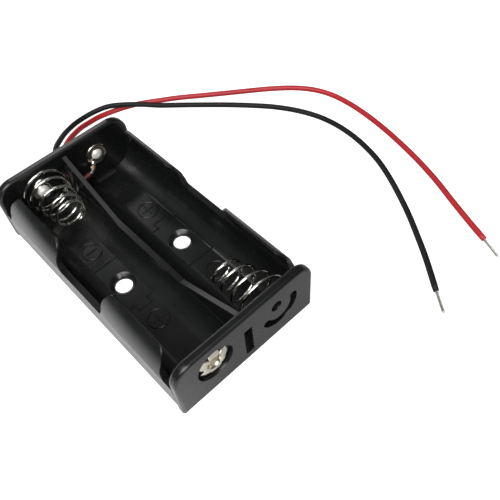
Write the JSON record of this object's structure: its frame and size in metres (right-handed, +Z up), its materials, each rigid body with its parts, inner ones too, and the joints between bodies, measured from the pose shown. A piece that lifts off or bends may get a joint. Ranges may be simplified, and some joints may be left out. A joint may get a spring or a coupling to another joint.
{
  "type": "cylindrical cell holder",
  "caption": "Open side-by-side holder for two cylindrical cells with snap-in tabs, coil springs, riveted contacts, screw holes in the floor and red and black flying leads.",
  "frame": {"origin": "centre of the holder's underside, midway between the end walls and midway between the bays", "axes": "+X along the cells towards the end away from the leads, +Y across the bays towards the bay with the red lead, +Z up out of the open bays"},
  "size_m": [0.1, 0.083, 0.0142],
  "materials": {
    "black_moulding": "black moulded thermoplastic, satin to glossy, with fine moulding marks",
    "nickel_plate": "nickel-plated brass, slightly warm and softly polished",
    "spring_wire": "nickel-plated spring steel wire, bright",
    "tinned_copper": "tinned copper strands with solder, softly shiny",
    "red_insulation": "red extruded insulation, satin",
    "black_insulation": "black extruded insulation, satin"
  },
  "bodies": {
    "holder": {"holder_body": "black_moulding", "positive_eyelet_near": "nickel_plate", "positive_eyelet_far": "nickel_plate", "spring_rivet_far": "nickel_plate", "link_wire": "tinned_copper", "red_lead": "red_insulation", "red_lead_tip": "tinned_copper", "red_solder_joint": "tinned_copper", "black_lead": "black_insulation", "black_lead_tip": "tinned_copper", "black_solder_joint": "tinned_copper"},
    "far_spring": {"negative_spring_far": "spring_wire"},
    "near_spring": {"negative_spring_near": "spring_wire"}
  },
  "joints": [
    {"name": "far_spring_squeeze", "type": "slide", "parent": "holder", "child": "far_spring", "axis": [-1, 0, 0], "range_m": [0, 0.0065], "stiffness_N_per_m": 500, "deforming": ["negative_spring_far"]},
    {"name": "near_spring_squeeze", "type": "slide", "parent": "holder", "child": "near_spring", "axis": [1, 0, 0], "range_m": [0, 0.0065], "stiffness_N_per_m": 500, "deforming": ["negative_spring_near"]}
  ]
}
